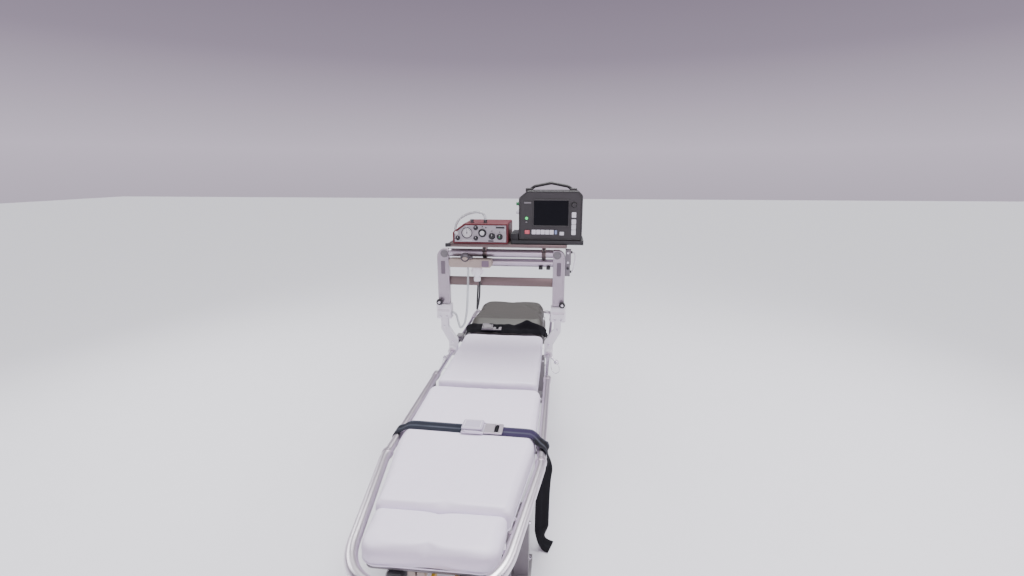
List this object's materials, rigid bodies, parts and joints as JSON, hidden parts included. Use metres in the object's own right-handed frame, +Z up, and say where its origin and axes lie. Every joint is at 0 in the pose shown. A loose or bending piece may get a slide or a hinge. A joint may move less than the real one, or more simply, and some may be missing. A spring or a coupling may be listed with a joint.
{
  "type": "helicopter stretcher with equipment bridge",
  "caption": "Low padded stretcher on a floor base, with a sliding litter, a hinged headrest and a sliding bridge that carries a ventilator and a monitor.",
  "frame": {"origin": "on the floor, below the middle of the part's own box", "axes": "+X to the patient's left, towards the monitor side, +Y from the foot end to the head end, +Z up"},
  "size_m": [0.666, 2.0495, 1.1081],
  "materials": {
    "vinyl": "satin",
    "head_vinyl": "satin",
    "aluminium": "satin",
    "brushed_bar": "brushed",
    "chrome": "polished",
    "grey_frame": "satin",
    "white_paint": "satin",
    "webbing": "matt",
    "black_plastic": "matt",
    "charcoal": "satin",
    "yellow_paint": "satin",
    "red_plastic": "gloss",
    "panel_grey": "satin",
    "cream": "satin",
    "clear_hose": "gloss"
  },
  "bodies": {
    "base": {"base_stand_foot": "grey_frame", "base_stand_head": "grey_frame", "base_rail_left": "aluminium", "base_rail_right": "aluminium"},
    "litter": {"litter_runner_left": "aluminium", "litter_runner_right": "aluminium", "litter_beam_foot": "grey_frame", "litter_beam_leg": "grey_frame", "litter_beam_seat": "grey_frame", "litter_beam_head": "grey_frame", "side_rail_left": "aluminium", "side_rail_right": "aluminium", "slide_rod_left": "chrome", "slide_rod_right": "chrome", "hinge_bracket_left": "grey_frame", "hinge_bracket_right": "grey_frame", "foot_loop": "aluminium", "head_tube": "aluminium", "leg_deck": "grey_frame", "torso_deck": "grey_frame", "foot_pad": "vinyl", "leg_pad": "vinyl", "torso_pad": "vinyl", "leg_strap": "webbing", "leg_strap_tail": "webbing", "leg_buckle": "chrome", "leg_buckle_tongue": "chrome", "release_handle": "yellow_paint", "foot_bracket_left": "black_plastic", "foot_bracket_right": "black_plastic", "side_lever": "yellow_paint"},
    "headrest": {"headrest_deck": "grey_frame", "head_pad": "head_vinyl", "head_strap": "webbing", "head_buckle": "chrome"},
    "bridge": {"bridge_arm_left": "white_paint", "bridge_arm_right": "white_paint", "bridge_post_left": "aluminium", "bridge_post_right": "aluminium", "clamp_knob_left": "black_plastic", "clamp_knob_right": "black_plastic", "locking_pin_left": "chrome", "locking_pin_right": "chrome", "top_tube": "aluminium", "low_tube": "white_paint", "flat_bar": "brushed_bar", "tray": "brushed_bar", "ventilator_case": "red_plastic", "ventilator_panel": "panel_grey", "monitor_dock": "black_plastic", "monitor_case": "charcoal", "monitor_screen": "black_plastic", "monitor_keys": "panel_grey", "oxygen_block": "cream", "oxygen_outlet": "white_paint", "oxygen_hose": "clear_hose", "side_bracket": "grey_frame", "sensor_lead": "white_paint"}
  },
  "joints": [
    {"name": "litter_slide", "type": "slide", "parent": "base", "child": "litter", "axis": [0, 1, 0], "range_m": [-0.35, 0]},
    {"name": "headrest_hinge", "type": "hinge", "parent": "litter", "child": "headrest", "pos_m": [-0.033, 0.505, 0.33], "axis": [1, 0, 0], "range_deg": [0, 50]},
    {"name": "bridge_slide", "type": "slide", "parent": "litter", "child": "bridge", "axis": [0, 1, 0], "range_m": [-0.2, 0]}
  ]
}
